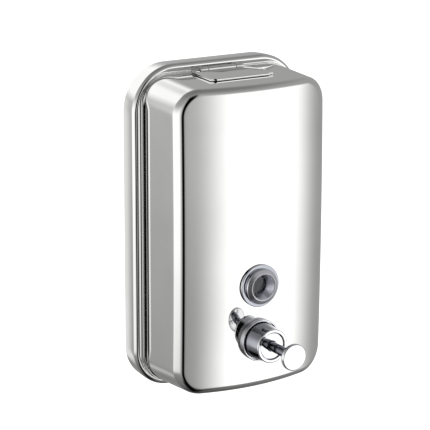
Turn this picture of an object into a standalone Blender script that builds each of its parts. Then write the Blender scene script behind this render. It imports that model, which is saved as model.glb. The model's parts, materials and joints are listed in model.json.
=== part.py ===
"""A wall mounted push soap dispenser: a drawn steel tank that hooks on a wall plate. Metres, +Z up.

Seen from the front, +X is to the right. +Y runs into the wall, and the wall is the plane Y = 0.
The origin is on the wall, at the centre of the flange's outline.
"""
import math

import bmesh
import bpy
from mathutils import Vector

MM = 0.001

# General
GAP = 0.3 * MM
SHEET = 1.0 * MM
WALL_GAP = 0.3 * MM

# Flange of the tank, the wide rim against the wall
FLANGE_WIDTH = 120.0 * MM
FLANGE_HEIGHT = 206.0 * MM
FLANGE_DEPTH = 14.5 * MM
FLANGE_EDGE = 2.5 * MM
FLANGE_TOP_CORNER = 29.0 * MM
FLANGE_BOTTOM_CORNER = 25.5 * MM

# Tank walls, from their root on the flange to the rounded edge of the front face
ROOT_DEPTH = 13.4 * MM
ROOT_HALF_WIDTH = 53.9 * MM
ROOT_TOP = 97.1 * MM
ROOT_BOTTOM = -98.6 * MM
FRONT_HALF_WIDTH = 53.3 * MM
FRONT_TOP = 95.0 * MM
FRONT_BOTTOM = -96.0 * MM
FRONT_CORNER = 16.3 * MM
FRONT_EDGE = 4.6 * MM
FRONT_DEPTH = 53.6 * MM
CROWN_ACROSS = 8.7 * MM
CROWN_UP = 1.3 * MM
BOTTOM_ARCH = 1.1 * MM

# Back plate and the hooks behind it
BACK_PLATE_Y = -9.0 * MM
BACK_RIM_Y = -0.8 * MM
PLATE_WIDTH = 70.0 * MM
PLATE_TOP = 76.0 * MM
PLATE_BOTTOM = -36.0 * MM
PLATE_THICKNESS = 1.5 * MM
PLATE_CORNER = 6.0 * MM
PLATE_HOLE_RADIUS = 2.4 * MM
PLATE_HOLE_X = 25.0 * MM
PLATE_HOLE_Z = (-24.0 * MM, 64.0 * MM)
HOOK_X = 20.0 * MM
HOOK_WIDTH = 14.0 * MM
HOOK_Z = 50.0 * MM
HOOK_HEIGHT = 11.0 * MM
HOOK_REACH = 3.7 * MM
RAIL_WIDTH = 60.0 * MM
RAIL_HEIGHT = 16.0 * MM
RAIL_SHEET = 1.2 * MM
RAIL_Y = -2.1 * MM
RAIL_FOOT = 10.0 * MM

# Filler lid in the top wall. Its own frame has the hinge axis as X and the wall's slope as Y.
HINGE_Y = -18.4 * MM
HINGE_HEIGHT = 1.5 * MM
KNUCKLE_RADIUS = 1.2 * MM
PIN_RADIUS = 0.5 * MM
LUG_INNER = 10.0 * MM
LUG_OUTER = 15.5 * MM
LUG_FOOT = 2.6 * MM
LUG_SHEET = 0.8 * MM
LID_HALF_WIDTH = 22.4 * MM
LID_BACK = -1.5 * MM
LID_FRONT = -25.6 * MM
LID_UNDERSIDE = -1.2 * MM
LID_THICKNESS = 1.1 * MM
LID_CORNER = 1.0 * MM
NOTCH_WIDTH = 3.4 * MM
NOTCH_DEPTH = 1.9 * MM
OPENING_HALF_WIDTH = 21.6 * MM
OPENING_BACK = -3.0 * MM
OPENING_FRONT = -24.9 * MM
OPENING_CORNER = 2.2 * MM
GASKET_GAP = 0.5 * MM
GASKET_RIM = 1.6 * MM
GASKET_DEPTH = 1.7 * MM

# Sight glass
SIGHT_Z = -30.1 * MM
SIGHT_HOLE = 9.5 * MM
SIGHT_WINDOW = 5.4 * MM

# Pump
PUMP_Z = -65.0 * MM
PUMP_HOLE = 9.5 * MM
BORE_RADIUS = 6.2 * MM
CHAMBER_END = -19.7 * MM
STEM_RADIUS = 3.1 * MM
BARREL_ROOT = 12.0 * MM
BARREL_RADIUS = 10.5 * MM
BARREL_FRONT = 16.2 * MM
BUTTON_RADIUS = 8.3 * MM
BUTTON_FRONT = 40.5 * MM
SCREW_TILT = math.radians(17.0)
SCREW_DEPTH = 14.45 * MM
OUTLET_DEPTH = 10.5 * MM
VALVE_DEPTH = -27.0 * MM
SPRING_TURNS = 6
SPRING_RADIUS = 4.6 * MM
SPRING_WIRE = 0.45 * MM
SPRING_FRONT = 2.0 * MM

# Facets
CORNER_STEPS = 7
EDGE_STEPS = 4
ROUND = 28
SMALL_ROUND = 18


# ---------------------------------------------------------------- materials

def material(name, color, metallic, roughness, alpha=1.0):
    made = bpy.data.materials.new(name)
    made.use_nodes = True
    shader = made.node_tree.nodes["Principled BSDF"]
    shader.inputs["Base Color"].default_value = (*color, 1.0)
    shader.inputs["Metallic"].default_value = metallic
    shader.inputs["Roughness"].default_value = roughness
    shader.inputs["Alpha"].default_value = alpha
    return made


def make_materials():
    return {
        "polished_steel": material("polished_steel", (0.80, 0.80, 0.79), 1.0, 0.06),
        "sheet_steel": material("sheet_steel", (0.62, 0.62, 0.61), 1.0, 0.30),
        "chrome": material("chrome", (0.83, 0.83, 0.85), 1.0, 0.04),
        "clear_plastic": material("clear_plastic", (0.85, 0.88, 0.90), 0.0, 0.05, 0.35),
        "rubber": material("rubber", (0.03, 0.03, 0.03), 0.0, 0.6),
        "pump_plastic": material("pump_plastic", (0.86, 0.86, 0.84), 0.0, 0.35),
        "spring_steel": material("spring_steel", (0.55, 0.55, 0.54), 1.0, 0.25),
    }


# ---------------------------------------------------------------- mesh tools

def add_object(name, bm, mat, location=(0, 0, 0), smooth_angle=None, parent=None):
    """Make one object of a closed bmesh, its faces turned outward."""
    bmesh.ops.recalc_face_normals(bm, faces=bm.faces)
    mesh = bpy.data.meshes.new(name)
    bm.to_mesh(mesh)
    bm.free()
    if smooth_angle:
        mesh.shade_smooth()
        mesh.set_sharp_from_angle(angle=math.radians(smooth_angle))
    if mat:
        mesh.materials.append(mat)
    made = bpy.data.objects.new(name, mesh)
    made.location = location
    made.parent = parent
    bpy.context.scene.collection.objects.link(made)
    return made


def boolean(target, tool, operation="DIFFERENCE"):
    """Cut the tool out of the target or join it to it. The tool itself is only a guide."""
    tool.hide_render = True
    tool.display_type = "WIRE"
    change = target.modifiers.new(tool.name, "BOOLEAN")
    change.operation = operation
    change.solver = "EXACT"
    change.object = tool


def bridge(bm, first, second):
    """Join two rings of equal length with quads."""
    count = len(first)
    for i in range(count):
        j = (i + 1) % count
        bm.faces.new((first[i], first[j], second[j], second[i]))


def rounded_outline(half_width, bottom, top, top_corner, bottom_corner, arch=0.0, across=8, up=6):
    """Points (x, z) of a rounded rectangle, anticlockwise. The bottom edge bows down by arch."""
    corners = (
        (half_width - top_corner, top - top_corner, top_corner, 0),
        (-half_width + top_corner, top - top_corner, top_corner, 90),
        (-half_width + bottom_corner, bottom + bottom_corner, bottom_corner, 180),
        (half_width - bottom_corner, bottom + bottom_corner, bottom_corner, 270),
    )
    arcs = []
    for x, z, radius, start in corners:
        angles = [math.radians(start + 90 * i / CORNER_STEPS) for i in range(CORNER_STEPS + 1)]
        arcs.append([(x + radius * math.cos(a), z + radius * math.sin(a)) for a in angles])
    points = []
    for i, arc in enumerate(arcs):
        points += arc
        steps = across if i % 2 == 0 else up
        (x0, z0), (x1, z1) = arc[-1], arcs[(i + 1) % 4][0]
        points += [(x0 + (x1 - x0) * k / steps, z0 + (z1 - z0) * k / steps) for k in range(1, steps)]
    return [(x, z - arch * (1 - (x / half_width) ** 2) * max(0.0, z / bottom)) for x, z in points]


def slab(name, points, low, high, axis, mat, location=(0, 0, 0), parent=None):
    """An outline extruded along X, Y or Z from low to high. Its points are the other two axes' values."""
    place = {
        "X": lambda p, t: (t, p[0], p[1]),
        "Y": lambda p, t: (p[0], t, p[1]),
        "Z": lambda p, t: (p[0], p[1], t),
    }[axis]
    bm = bmesh.new()
    ends = [[bm.verts.new(place(p, t)) for p in points] for t in (low, high)]
    bridge(bm, *ends)
    for ring in ends:
        bm.faces.new(ring)
    return add_object(name, bm, mat, location, parent=parent)


def rectangle(x0, x1, y0, y1):
    return [(x0, y0), (x1, y0), (x1, y1), (x0, y1)]


def turned(name, profile, axis, mat, location, steps=ROUND, parent=None, reach=None):
    """Turn a closed profile of (radius, distance) about the axis through location.

    Distance runs outward from the tank for axis "Y" and upward for "Z". A point on the axis closes
    the solid there. Where a distance is "seat", the point lies on the crowned front face: reach
    gives the height of that face above location for an offset (x, z).
    """
    bm = bmesh.new()
    rings = []
    for radius, distance in profile:
        ring = []
        for i in range(1 if radius == 0 else steps):
            a = 2 * math.pi * i / steps
            x, z = radius * math.cos(a), radius * math.sin(a)
            along = reach(x, z) + GAP if distance == "seat" else distance
            ring.append(bm.verts.new((x, -along, z) if axis == "Y" else (x, z, along)))
        rings.append(ring)
    for first, second in zip(rings, rings[1:] + rings[:1]):
        if len(first) == 1 and len(second) == 1:
            continue
        for i in range(steps):
            j = (i + 1) % steps
            corners = [first[i % len(first)], first[j % len(first)]]
            corners += [second[j % len(second)], second[i % len(second)]]
            bm.faces.new(list(dict.fromkeys(corners)))
    return add_object(name, bm, mat, location, 35, parent)


def rod(name, radius, low, high, axis, mat, location, steps=SMALL_ROUND, parent=None):
    """A plain round bar from low to high along the axis."""
    angles = [2 * math.pi * i / steps for i in range(steps)]
    points = [(radius * math.cos(a), radius * math.sin(a)) for a in angles]
    return slab(name, points, low, high, axis, mat, location, parent)


# ---------------------------------------------------------------- tank

def crown(x, z):
    """How far the front face stands in front of its own edge."""
    middle = (FRONT_TOP + FRONT_BOTTOM) / 2
    half_height = (FRONT_TOP - FRONT_BOTTOM) / 2
    across = 1 - min(1.0, abs(x) / FRONT_HALF_WIDTH) ** 2
    up = 1 - min(1.0, abs(z - middle) / half_height) ** 2
    return CROWN_ACROSS * across + CROWN_UP * up


def face_y(x, z):
    return -(FRONT_DEPTH + crown(x, z))


def top_wall_z(y):
    """Height of the top wall's outer surface at a depth y, midway across the tank."""
    front = -(FRONT_DEPTH - FRONT_EDGE) - crown(0, FRONT_TOP)
    return ROOT_TOP + (y + ROOT_DEPTH) * (ROOT_TOP - FRONT_TOP) / (-ROOT_DEPTH - front)


def flange_outline(inset):
    return rounded_outline(
        FLANGE_WIDTH / 2 - inset, -FLANGE_HEIGHT / 2 + inset, FLANGE_HEIGHT / 2 - inset,
        FLANGE_TOP_CORNER - inset, FLANGE_BOTTOM_CORNER - inset)


def root_outline(inset):
    corner = FRONT_CORNER + ROOT_HALF_WIDTH - FRONT_HALF_WIDTH - inset
    return rounded_outline(
        ROOT_HALF_WIDTH - inset, ROOT_BOTTOM + inset, ROOT_TOP - inset, corner, corner, BOTTOM_ARCH)


def front_outline(inset):
    corner = FRONT_CORNER - inset
    return rounded_outline(
        FRONT_HALF_WIDTH - inset, FRONT_BOTTOM + inset, FRONT_TOP - inset, corner, corner, BOTTOM_ARCH)


def skin_rings(inset):
    """Rings (x, y, z) of the drawn skin, from the wall to the middle of its face, inset into the sheet."""
    rings = [[(x, -WALL_GAP, z) for x, z in flange_outline(inset)]]
    edge = FLANGE_EDGE - inset
    for i in range(EDGE_STEPS):
        a = math.pi / 2 * i / (EDGE_STEPS - 1)
        y = -(FLANGE_DEPTH - FLANGE_EDGE) - edge * math.sin(a)
        rings.append([(x, y, z) for x, z in flange_outline(inset + edge * (1 - math.cos(a)))])
    rings.append([(x, -ROOT_DEPTH + inset, z) for x, z in root_outline(inset)])
    edge = FRONT_EDGE - inset
    for i in range(EDGE_STEPS + 1):
        a = math.pi / 2 * i / EDGE_STEPS
        depth = FRONT_DEPTH - FRONT_EDGE + edge * math.sin(a)
        points = front_outline(inset + edge * (1 - math.cos(a)))
        rings.append([(x, -depth - crown(x, z), z) for x, z in points])
    middle = (FRONT_TOP + FRONT_BOTTOM) / 2
    for share in (0.72, 0.42, 0.16):
        points = [(x * share, middle + (z - middle) * share) for x, z in front_outline(FRONT_EDGE)]
        rings.append([(x, face_y(x, z) + inset, z) for x, z in points])
    return rings


def make_front_shell(mats):
    """The drawn tank: rim, walls and crowned face of one sheet, open at the back."""
    bm = bmesh.new()
    skins = []
    for inset in (0.0, SHEET):
        rings = [[bm.verts.new(p) for p in ring] for ring in skin_rings(inset)]
        for first, second in zip(rings, rings[1:]):
            bridge(bm, first, second)
        middle = (FRONT_TOP + FRONT_BOTTOM) / 2
        tip = bm.verts.new((0, face_y(0, middle) + inset, middle))
        last = rings[-1]
        for i, vert in enumerate(last):
            bm.faces.new((vert, last[(i + 1) % len(last)], tip))
        skins.append(rings[0])
    bridge(bm, *skins)
    shell = add_object("front_shell", bm, mats["polished_steel"], smooth_angle=30)
    depth = -FRONT_DEPTH - CROWN_ACROSS
    sight = rod("sight_hole", SIGHT_HOLE, depth - 5 * MM, depth + 9 * MM, "Y", None, (0, 0, SIGHT_Z), ROUND)
    pump = rod("pump_hole", PUMP_HOLE, depth - 5 * MM, depth + 9 * MM, "Y", None, (0, 0, PUMP_Z), ROUND)
    boolean(shell, sight)
    boolean(shell, pump)
    return shell


def make_back_plate(mats):
    """The tray that closes the tank. Its rim lies inside the flange and turns back to the wall."""
    outer = SHEET + GAP
    layers = (
        (outer, BACK_RIM_Y), (outer, BACK_PLATE_Y - SHEET),
        (outer + SHEET, BACK_PLATE_Y), (outer + SHEET, BACK_RIM_Y))
    bm = bmesh.new()
    rings = [[bm.verts.new((x, y, z)) for x, z in flange_outline(inset)] for inset, y in layers]
    bridge(bm, rings[0], rings[1])
    bridge(bm, rings[2], rings[3])
    bridge(bm, rings[3], rings[0])
    bm.faces.new(rings[1])
    bm.faces.new(rings[2])
    return add_object("back_plate", bm, mats["sheet_steel"], smooth_angle=30)


def make_hanger_rail(mats):
    """A Z strip on the back plate. Its hanging leg drops behind the wall plate's hooks."""
    rest = HOOK_Z + PLATE_THICKNESS + GAP
    top = rest + RAIL_HEIGHT
    back = BACK_PLATE_Y + GAP
    web = RAIL_Y - RAIL_SHEET
    points = [
        (RAIL_Y, rest), (RAIL_Y, top), (back + RAIL_SHEET, top), (back + RAIL_SHEET, top + RAIL_FOOT),
        (back, top + RAIL_FOOT), (back, top - RAIL_SHEET), (web, top - RAIL_SHEET), (web, rest)]
    return slab("hanger_rail", points, -RAIL_WIDTH / 2, RAIL_WIDTH / 2, "X", mats["sheet_steel"])


def make_wall_plate(mats):
    """The plate screwed to the wall, with two hooks folded up from it."""
    outline = rounded_outline(
        PLATE_WIDTH / 2, PLATE_BOTTOM, PLATE_TOP, PLATE_CORNER, PLATE_CORNER, across=1, up=1)
    plate = slab("wall_plate", outline, 0, -PLATE_THICKNESS, "Y", mats["sheet_steel"])
    for side in (-1, 1):
        for level, z in enumerate(PLATE_HOLE_Z):
            name = "plate_hole_%s_%d" % ("left" if side < 0 else "right", level)
            place = (side * PLATE_HOLE_X, 0, z)
            boolean(plate, rod(name, PLATE_HOLE_RADIUS, -4 * MM, 2 * MM, "Y", None, place))
        inner, outer = -HOOK_REACH, -HOOK_REACH - PLATE_THICKNESS
        points = [
            (-PLATE_THICKNESS / 2, HOOK_Z), (-PLATE_THICKNESS / 2, HOOK_Z + PLATE_THICKNESS),
            (inner, HOOK_Z + PLATE_THICKNESS), (inner, HOOK_Z + HOOK_HEIGHT),
            (outer, HOOK_Z + HOOK_HEIGHT), (outer, HOOK_Z)]
        low = side * HOOK_X - HOOK_WIDTH / 2
        hook = slab("hook_%s" % ("left" if side < 0 else "right"), points, low, low + HOOK_WIDTH, "X", None)
        boolean(plate, hook, "UNION")
    return plate


# ---------------------------------------------------------------- filler lid

def make_lid_frame():
    """The hinge axis: X across, Y up the slope of the top wall."""
    frame = bpy.data.objects.new("lid_axis", None)
    frame.location = (0, HINGE_Y, top_wall_z(HINGE_Y) + HINGE_HEIGHT)
    slope = (top_wall_z(0) - top_wall_z(-1 * MM)) / MM
    frame.rotation_euler = (math.atan(slope), 0, 0)
    bpy.context.scene.collection.objects.link(frame)
    return frame


def lid_outline(half_width, front, back, corner):
    middle = (front + back) / 2
    points = rounded_outline(
        half_width, front - middle, back - middle, corner, corner, across=1, up=1)
    return [(x, y + middle) for x, y in points]


def cut_filler_opening(shell, frame):
    points = lid_outline(OPENING_HALF_WIDTH, OPENING_FRONT, OPENING_BACK, OPENING_CORNER)
    opening = slab("filler_opening", points, -9 * MM, 2 * MM, "Z", None, parent=frame)
    boolean(shell, opening)


def make_filler_lid(mats, frame):
    """A flat plate with a notch in each front corner, and the middle knuckle of its hinge."""
    points = lid_outline(LID_HALF_WIDTH, LID_FRONT, LID_BACK, LID_CORNER)
    top = LID_UNDERSIDE + LID_THICKNESS
    lid = slab("filler_lid", points, LID_UNDERSIDE, top, "Z", mats["polished_steel"], parent=frame)
    for side in (-1, 1):
        low, high = sorted((side * (LID_HALF_WIDTH - NOTCH_WIDTH), side * (LID_HALF_WIDTH + 1 * MM)))
        corner = rectangle(low, high, LID_FRONT - 1 * MM, LID_FRONT + NOTCH_DEPTH)
        notch = slab("lid_notch", corner, LID_UNDERSIDE - 1 * MM, top + 1 * MM, "Z", None, parent=frame)
        boolean(lid, notch)
    half = LUG_INNER - GAP
    reach = rectangle(-half, half, LID_BACK - 1 * MM, 0)
    tab = slab("lid_tab", reach, LID_UNDERSIDE, top, "Z", None, parent=frame)
    knuckle = rod("lid_knuckle", KNUCKLE_RADIUS, -half, half, "X", None, (0, 0, 0), parent=frame)
    bore = rod("lid_bore", PIN_RADIUS + GAP, -LUG_OUTER, LUG_OUTER, "X", None, (0, 0, 0), parent=frame)
    boolean(lid, tab, "UNION")
    boolean(lid, knuckle, "UNION")
    boolean(lid, bore)
    return lid


def make_lid_gasket(mats, frame):
    """A rubber ring under the lid that plugs into the opening."""
    bm = bmesh.new()
    rings = []
    high = LID_UNDERSIDE - GAP
    low = high - GASKET_DEPTH
    for rim, z in ((0.0, low), (0.0, high), (GASKET_RIM, high), (GASKET_RIM, low)):
        inset = GASKET_GAP + rim
        points = lid_outline(
            OPENING_HALF_WIDTH - inset, OPENING_FRONT + inset, OPENING_BACK - inset, OPENING_CORNER - inset)
        rings.append([bm.verts.new((x, y, z)) for x, y in points])
    for first, second in zip(rings, rings[1:] + rings[:1]):
        bridge(bm, first, second)
    return add_object("lid_gasket", bm, mats["rubber"], parent=frame)


def make_hinge_lug(mats, frame, side):
    """One ear of the hinge, standing on the top wall beside the lid's knuckle."""
    name = "hinge_lug_left" if side < 0 else "hinge_lug_right"
    low, high = sorted((side * LUG_INNER, side * LUG_OUTER))
    lug = rod(name, KNUCKLE_RADIUS, low, high, "X", mats["polished_steel"], (0, 0, 0), parent=frame)
    floor = -HINGE_HEIGHT + GAP
    foot = slab(
        name + "_foot", rectangle(0, LUG_FOOT, floor, floor + LUG_SHEET), low, high, "X", None, parent=frame)
    bore = rod(
        name + "_bore", PIN_RADIUS + GAP, -LUG_OUTER - MM, LUG_OUTER + MM, "X", None, (0, 0, 0), parent=frame)
    boolean(lug, foot, "UNION")
    boolean(lug, bore)
    return lug


def make_hinge_pin(mats, frame):
    return rod("hinge_pin", PIN_RADIUS, -LUG_OUTER, LUG_OUTER, "X", mats["chrome"], (0, 0, 0), 12, frame)


# ---------------------------------------------------------------- sight glass

def reach_from(axis_z):
    """Height of the front face above its own point on the axis, for an offset (x, z) from it."""
    return lambda x, z: face_y(0, axis_z) - face_y(x, axis_z + z)


def nut_profile_mesh(name, bore, across_flats, low, high, mat, location):
    """A hexagon nut with a round bore, its facets falling on the hexagon's corners."""
    steps = 24
    bm = bmesh.new()
    rings = []
    for depth, hexagon in ((low, True), (high, True), (high, False), (low, False)):
        ring = []
        for i in range(steps):
            a = 2 * math.pi * i / steps
            turn = (a % (math.pi / 3)) - math.pi / 6
            radius = across_flats / 2 / math.cos(turn) if hexagon else bore
            ring.append(bm.verts.new((radius * math.cos(a), -depth, radius * math.sin(a))))
        rings.append(ring)
    for first, second in zip(rings, rings[1:] + rings[:1]):
        bridge(bm, first, second)
    return add_object(name, bm, mat, location)


def make_sight_glass(mats):
    place = (0, face_y(0, SIGHT_Z), SIGHT_Z)
    sleeve = SIGHT_HOLE - GAP
    bezel = [
        (SIGHT_WINDOW, -1 * MM), (SIGHT_WINDOW, -0.2 * MM), (7.9 * MM, 4.9 * MM), (8.2 * MM, 5.2 * MM),
        (8.6 * MM, 5.2 * MM), (11.2 * MM, 3.6 * MM), (11.2 * MM, 1.4 * MM), (13.2 * MM, 1.3 * MM),
        (13.5 * MM, 1.0 * MM), (13.5 * MM, "seat"), (sleeve, "seat"), (sleeve, -9 * MM), (8.3 * MM, -9 * MM),
        (8.3 * MM, -1 * MM)]
    turned("sight_bezel", bezel, "Y", mats["chrome"], place, reach=reach_from(SIGHT_Z))
    lens = [(0, -1.3 * MM), (8 * MM, -1.3 * MM), (8 * MM, -3.3 * MM), (0, -3.3 * MM)]
    turned("sight_lens", lens, "Y", mats["clear_plastic"], place)
    ring = [(6.6 * MM, -3.6 * MM), (8 * MM, -3.6 * MM), (8 * MM, -6 * MM), (6.6 * MM, -6 * MM)]
    turned("lens_retainer", ring, "Y", mats["pump_plastic"], place, SMALL_ROUND)
    seal = [(SIGHT_HOLE, -1.9 * MM), (12 * MM, -1.9 * MM), (12 * MM, -3.2 * MM), (SIGHT_HOLE, -3.2 * MM)]
    turned("sight_gasket", seal, "Y", mats["rubber"], place, SMALL_ROUND)
    nut_profile_mesh("sight_nut", SIGHT_HOLE, 26 * MM, -3.5 * MM, -7.5 * MM, mats["chrome"], place)


# ---------------------------------------------------------------- pump

def pump_place():
    return (0, face_y(0, PUMP_Z), PUMP_Z)


def make_escutcheon(mats):
    profile = [
        (13.3 * MM, "seat"), (13.3 * MM, 2.6 * MM), (13.0 * MM, 3.3 * MM), (12.7 * MM, 3.5 * MM),
        (12.4 * MM, 3.5 * MM), (12.4 * MM, 1.5 * MM), (PUMP_HOLE, 1.5 * MM), (PUMP_HOLE, "seat")]
    turned("pump_escutcheon", profile, "Y", mats["chrome"], pump_place(), reach=reach_from(PUMP_Z))


def make_barrel(mats):
    """The pump cylinder: a polished, slightly tapered barrel outside the tank, its tail inside it."""
    tail = PUMP_HOLE - GAP
    profile = [
        (BARREL_ROOT, 1.8 * MM), (BARREL_RADIUS, 14.6 * MM), (10.7 * MM, 14.9 * MM), (10.7 * MM, 15.5 * MM),
        (10.0 * MM, BARREL_FRONT), (9.1 * MM, BARREL_FRONT), (8.5 * MM, 15.7 * MM), (8.5 * MM, 13.2 * MM),
        (BORE_RADIUS, 13.2 * MM), (BORE_RADIUS, -14 * MM), (tail, -14 * MM), (tail, 1.8 * MM)]
    barrel = turned("pump_barrel", profile, "Y", mats["chrome"], pump_place())
    x, y, z = pump_place()
    duct_z = z - 7.9 * MM
    duct = rod("outlet_duct", 0.8 * MM, -OUTLET_DEPTH, 16 * MM, "Y", None, (x, y, duct_z), 10)
    port = rod("outlet_port", 2.3 * MM, -12 * MM, -7 * MM, "Z", None, (x, y - OUTLET_DEPTH, z), 16)
    hole = rod("screw_hole", 1.2 * MM, 7 * MM, 12 * MM, "Z", None, (x, y - SCREW_DEPTH, z), 12)
    hole.rotation_euler = (0, -SCREW_TILT, 0)
    for tool in (duct, port, hole):
        boolean(barrel, tool)
    screw = rod(
        "barrel_screw", 0.9 * MM, 8.6 * MM, 10.1 * MM, "Z", mats["spring_steel"], (x, y - SCREW_DEPTH, z), 12)
    screw.rotation_euler = hole.rotation_euler


def make_cap_and_guide(mats):
    bore = STEM_RADIUS + GAP
    cap = [(bore, 13.5 * MM), (bore, 15.3 * MM), (8.2 * MM, 15.3 * MM), (8.2 * MM, 13.5 * MM)]
    turned("pump_cap", cap, "Y", mats["chrome"], pump_place())
    seal = [(bore, 10.2 * MM), (bore, 13.1 * MM), (5.9 * MM, 13.1 * MM), (5.9 * MM, 10.2 * MM)]
    turned("stem_seal", seal, "Y", mats["rubber"], pump_place(), SMALL_ROUND)


def make_button_and_stem(mats):
    button = [
        (0, BUTTON_FRONT), (7.6 * MM, BUTTON_FRONT), (8.1 * MM, 40.2 * MM), (BUTTON_RADIUS, 39.7 * MM),
        (BUTTON_RADIUS, 38.5 * MM), (7.8 * MM, 37.8 * MM), (1.9 * MM, 37.8 * MM), (1.9 * MM, 39.3 * MM),
        (0, 39.3 * MM)]
    turned("push_button", button, "Y", mats["chrome"], pump_place())
    stem = [
        (0, 39.0 * MM), (1.6 * MM, 39.0 * MM), (1.6 * MM, 37.5 * MM), (STEM_RADIUS, 37.5 * MM),
        (STEM_RADIUS, 8.8 * MM), (1.6 * MM, 8.8 * MM), (1.6 * MM, 4.2 * MM), (0, 4.2 * MM)]
    turned("piston_stem", stem, "Y", mats["chrome"], pump_place(), SMALL_ROUND)


def make_piston(mats):
    profile = [
        (1.9 * MM, 8.5 * MM), (5.8 * MM, 8.5 * MM), (5.8 * MM, 6.6 * MM), (4.6 * MM, 6.6 * MM),
        (4.6 * MM, 4.4 * MM), (5.8 * MM, 4.4 * MM), (5.8 * MM, 2.5 * MM), (0, 2.5 * MM), (0, 3.9 * MM),
        (1.9 * MM, 3.9 * MM)]
    turned("piston", profile, "Y", mats["pump_plastic"], pump_place(), SMALL_ROUND)
    seal = [(4.9 * MM, 4.9 * MM), (4.9 * MM, 6.1 * MM), (5.6 * MM, 6.2 * MM), (6.0 * MM, 5.8 * MM),
            (6.0 * MM, 5.2 * MM), (5.6 * MM, 4.8 * MM)]
    turned("piston_seal", seal, "Y", mats["rubber"], pump_place(), SMALL_ROUND)


def make_return_spring(mats):
    """A coil between the piston and the floor of the inlet housing."""
    around, sides = 12, 5
    rear = CHAMBER_END + GAP + SPRING_WIRE
    front = SPRING_FRONT - SPRING_WIRE
    count = SPRING_TURNS * around
    bm = bmesh.new()
    rings = []
    for i in range(count + 1):
        a = 2 * math.pi * i / around
        along = rear + (front - rear) * i / count
        radial = Vector((math.cos(a), 0, math.sin(a)))
        ring = []
        for k in range(sides):
            b = 2 * math.pi * k / sides
            middle = radial * (SPRING_RADIUS + SPRING_WIRE * math.cos(b))
            ring.append(bm.verts.new(middle + Vector((0, -along - SPRING_WIRE * math.sin(b), 0))))
        rings.append(ring)
    for first, second in zip(rings, rings[1:]):
        bridge(bm, first, second)
    bm.faces.new(rings[0])
    bm.faces.new(rings[-1])
    add_object("return_spring", bm, mats["spring_steel"], pump_place(), 60)


def make_tail_fixings(mats):
    place = pump_place()
    seal = [(PUMP_HOLE, -1.9 * MM), (12 * MM, -1.9 * MM), (12 * MM, -3.4 * MM), (PUMP_HOLE, -3.4 * MM)]
    turned("pump_gasket", seal, "Y", mats["rubber"], place, SMALL_ROUND)
    nut_profile_mesh("pump_nut", PUMP_HOLE, 27 * MM, -3.7 * MM, -8.2 * MM, mats["chrome"], place)


def make_inlet(mats):
    """Housing behind the pump chamber, with a ball valve under it and the tube down to the soap."""
    place = pump_place()
    x, y, z = place
    cup = [
        (PUMP_HOLE, -8.9 * MM), (11.2 * MM, -8.9 * MM), (11.2 * MM, -21.5 * MM), (0, -21.5 * MM),
        (0, CHAMBER_END), (8.9 * MM, CHAMBER_END), (8.9 * MM, -14.6 * MM), (PUMP_HOLE, -14.6 * MM)]
    housing = turned("inlet_housing", cup, "Y", mats["pump_plastic"], place, 24)
    outline = rectangle(-6 * MM, 6 * MM, 20.6 * MM, 33 * MM)
    block = slab("inlet_block", outline, -12 * MM, 6 * MM, "Z", None, place)
    boolean(housing, block, "UNION")
    valve_y = y - VALVE_DEPTH
    bore = rod("valve_bore", 4.0 * MM, -14 * MM, 2.5 * MM, "Z", None, (x, valve_y, z), 16)
    port = rod("valve_port", 2.0 * MM, 18 * MM, 27 * MM, "Y", None, place, 12)
    boolean(housing, bore)
    boolean(housing, port)
    valve = (x, valve_y, z)
    seat = [
        (2.0 * MM, -8.5 * MM), (3.0 * MM, -8.1 * MM), (3.7 * MM, -8.1 * MM), (3.7 * MM, -12.3 * MM),
        (5.5 * MM, -12.3 * MM), (5.5 * MM, -13.8 * MM), (2.6 * MM, -13.8 * MM), (2.6 * MM, -19 * MM),
        (2.0 * MM, -19 * MM)]
    turned("ball_seat", seat, "Z", mats["pump_plastic"], valve, 16)
    ball_z = z - 5.9 * MM
    bm = bmesh.new()
    bmesh.ops.create_icosphere(bm, subdivisions=2, radius=3.0 * MM)
    add_object("inlet_ball", bm, mats["chrome"], (x, valve_y, ball_z), 60)
    tube = [(2.9 * MM, -14.1 * MM), (4 * MM, -14.1 * MM), (4 * MM, -28.5 * MM), (2.9 * MM, -28.5 * MM)]
    turned("dip_tube", tube, "Z", mats["clear_plastic"], valve, 16)


def make_outlet(mats):
    """A bushing in the underside of the barrel and the slit rubber valve above it."""
    x, y, z = pump_place()
    place = (x, y - OUTLET_DEPTH, z)
    nozzle = [(1 * MM, -9.1 * MM), (2 * MM, -9.1 * MM), (2 * MM, -11.5 * MM), (1 * MM, -11.5 * MM)]
    turned("outlet_nozzle", nozzle, "Z", mats["chrome"], place, 16)
    valve = [(0.4 * MM, -7.3 * MM), (2 * MM, -7.3 * MM), (2 * MM, -8.8 * MM), (0.4 * MM, -8.8 * MM)]
    turned("outlet_valve", valve, "Z", mats["rubber"], place, 12)


# ---------------------------------------------------------------- all of it

def clear_scene():
    for item in list(bpy.data.objects):
        bpy.data.objects.remove(item, do_unlink=True)


def build():
    clear_scene()
    mats = make_materials()
    shell = make_front_shell(mats)
    make_back_plate(mats)
    make_hanger_rail(mats)
    make_wall_plate(mats)
    frame = make_lid_frame()
    cut_filler_opening(shell, frame)
    make_filler_lid(mats, frame)
    make_lid_gasket(mats, frame)
    make_hinge_lug(mats, frame, -1)
    make_hinge_lug(mats, frame, 1)
    make_hinge_pin(mats, frame)
    make_sight_glass(mats)
    make_escutcheon(mats)
    make_barrel(mats)
    make_cap_and_guide(mats)
    make_button_and_stem(mats)
    make_piston(mats)
    make_return_spring(mats)
    make_tail_fixings(mats)
    make_inlet(mats)
    make_outlet(mats)


build()
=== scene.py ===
"""The looks of the wall mounted soap dispenser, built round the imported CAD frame. Metres, +Z up."""
import json
import math

import bmesh
import bpy
from mathutils import Matrix, Vector


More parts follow.
